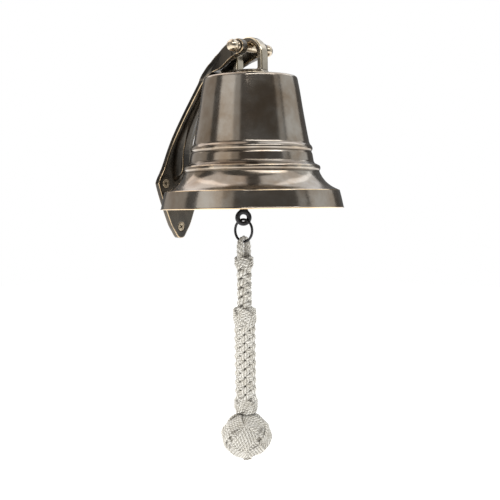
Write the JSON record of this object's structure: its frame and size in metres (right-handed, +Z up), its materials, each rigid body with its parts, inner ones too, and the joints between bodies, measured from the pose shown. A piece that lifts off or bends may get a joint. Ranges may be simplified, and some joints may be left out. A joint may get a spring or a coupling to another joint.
{
  "type": "ship bell",
  "caption": "Wall-hung ship bell on a forked curved bracket, swinging on a pin with ball ends, rung by a knotted rope lanyard on its clapper.",
  "frame": {"origin": "on the wall, at the plate's back face, in the middle of the screw pattern: midway across it, and midway in height between the upper screws and the lower one", "axes": "+Z up, +Y into the wall along the screws, X along the bell's pin; the bell hangs at -Y"},
  "size_m": [0.178, 0.197, 0.4104],
  "materials": {
    "bracket_bronze": "dark antiqued cast bronze, edges worn to warm gold, satin polish",
    "bell_bronze": "antiqued bell bronze, brushed round and polished, mouldings rubbed to gold",
    "polished_brass": "polished aged brass",
    "screw_brass": "antiqued brass screws with darker recesses",
    "black_iron": "black oxide, satin",
    "cotton": "laid off-white cotton cord, matt and slightly soiled in the hollows",
    "core_wood": "turned light wood, unfinished"
  },
  "bodies": {
    "bracket": {"wall_bracket": "bracket_bronze", "wall_screws": "screw_brass", "pivot_pin": "polished_brass", "ball_nuts": "polished_brass"},
    "bell": {"bell_shell": "bell_bronze", "crown_loop": "bracket_bronze", "crown_washer": "polished_brass", "crown_nut": "polished_brass", "clapper_staple": "black_iron"},
    "clapper": {"clapper_rod": "black_iron", "clapper_ball": "black_iron", "clapper_tail": "black_iron"},
    "ring": {"rope_ring": "black_iron"},
    "lanyard": {"rope_eye": "cotton", "eye_knot": "cotton", "upper_braid": "cotton", "middle_knot": "cotton", "lower_braid": "cotton", "lower_knot": "cotton", "ball_knot": "cotton", "heart_rope": "cotton", "ball_core": "core_wood", "strand_ends": "cotton"}
  },
  "joints": [
    {"name": "bell_swing", "type": "hinge", "parent": "bracket", "child": "bell", "pos_m": [0, -0.102, 0.15], "axis": [-1, 0, 0], "range_deg": [-2.3, 60]},
    {"name": "clapper_swing", "type": "hinge", "parent": "bell", "child": "clapper", "pos_m": [0, -0.102, 0.0903], "axis": [0.7071, 0.7071, 0], "range_deg": [-38.3, 28.6]},
    {"name": "ring_swing", "type": "hinge", "parent": "clapper", "child": "ring", "pos_m": [-0.00622, -0.09578, -0.01883], "axis": [0.7071, -0.7071, 0], "range_deg": [-15, 15]},
    {"name": "lanyard_swing", "type": "hinge", "parent": "ring", "child": "lanyard", "pos_m": [-0.00622, -0.09578, -0.03653], "axis": [0, 1, 0], "range_deg": [-35, 35]}
  ]
}
